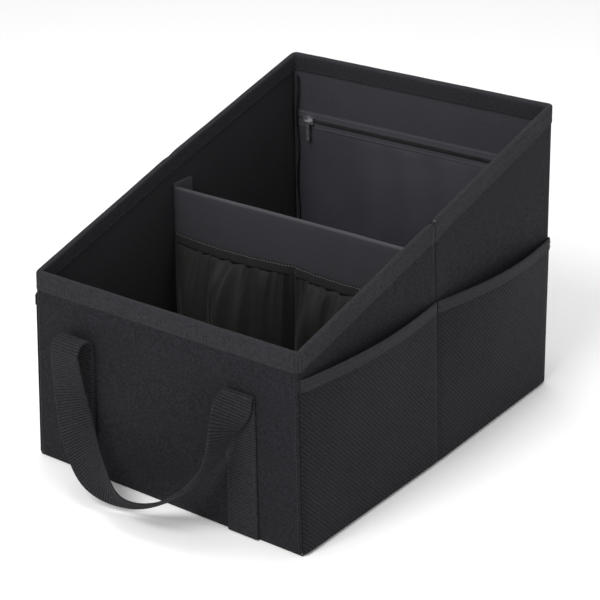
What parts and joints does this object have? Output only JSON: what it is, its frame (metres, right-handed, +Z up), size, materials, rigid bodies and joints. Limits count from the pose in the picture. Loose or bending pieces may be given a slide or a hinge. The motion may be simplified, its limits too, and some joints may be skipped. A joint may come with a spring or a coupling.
{
  "type": "car trunk organizer",
  "caption": "Open fabric storage box with a sloped rim, board-stiffened walls, a divider with a net pouch, side pockets, a zipped inner pocket and webbing loop handles.",
  "frame": {"origin": "centre of the flat base's underside, on the ground", "axes": "+Y from the low front to the high back, +X to the right as seen from the front, +Z up"},
  "size_m": [0.3042, 0.4705, 0.2622],
  "materials": {
    "outer_cloth": "matt black plain-weave polyester",
    "lining_cloth": "matt black plain-weave lining",
    "stiffener_board": "plain board, hidden inside the walls",
    "binding_tape": "ribbed dark grey binding tape",
    "pocket_cloth": "fine diagonal-ribbed black cloth",
    "webbing": "cross-ribbed black webbing",
    "satin_cloth": "smooth satin-like black nylon",
    "hook_and_loop": "fuzzy black hook-and-loop tape",
    "net": "open black net, gathered",
    "elastic": "dark grey ribbed elastic",
    "zip_coil": "black nylon coil",
    "zip_metal": "plated silver metal"
  },
  "bodies": {
    "organizer": {"base_outer_panel": "outer_cloth", "base_board": "stiffener_board", "base_lining": "lining_cloth", "front_outer_panel": "outer_cloth", "front_board": "stiffener_board", "front_lining": "lining_cloth", "back_outer_panel": "outer_cloth", "back_board": "stiffener_board", "back_lining": "lining_cloth", "left_outer_panel": "outer_cloth", "left_front_board": "stiffener_board", "left_rear_board": "stiffener_board", "left_lining": "lining_cloth", "right_outer_panel": "outer_cloth", "right_front_board": "stiffener_board", "right_rear_board": "stiffener_board", "right_lining": "lining_cloth", "rim_tape": "binding_tape", "front_left_seam_tape": "binding_tape", "front_right_seam_tape": "binding_tape", "back_left_seam_tape": "binding_tape", "back_right_seam_tape": "binding_tape", "left_pocket_panel": "pocket_cloth", "left_front_pocket_tape": "binding_tape", "left_rear_pocket_tape": "binding_tape", "right_pocket_panel": "pocket_cloth", "right_front_pocket_tape": "binding_tape", "right_rear_pocket_tape": "binding_tape", "front_handle": "webbing", "back_handle": "webbing", "divider_board": "stiffener_board", "divider_cover": "satin_cloth", "left_wall_strip": "hook_and_loop", "left_divider_flange": "satin_cloth", "right_wall_strip": "hook_and_loop", "right_divider_flange": "satin_cloth", "net_pouch": "net", "pouch_elastic": "elastic", "zip_upper_tape": "binding_tape", "zip_lower_tape": "binding_tape", "zip_pocket_panel": "satin_cloth", "zip_chain": "zip_coil", "zip_left_stop": "zip_metal", "zip_right_stop": "zip_metal"},
    "zip_slider": {"zip_slider": "zip_metal"},
    "zip_pull": {"zip_pull": "zip_metal"}
  },
  "joints": [
    {"name": "zip_slide", "type": "slide", "parent": "organizer", "child": "zip_slider", "axis": [1, 0, 0], "range_m": [0, 0.2322]},
    {"name": "pull_swing", "type": "hinge", "parent": "zip_slider", "child": "zip_pull", "pos_m": [-0.11618, 0.16975, 0.2], "axis": [-1, 0, 0], "range_deg": [0, 160]}
  ]
}
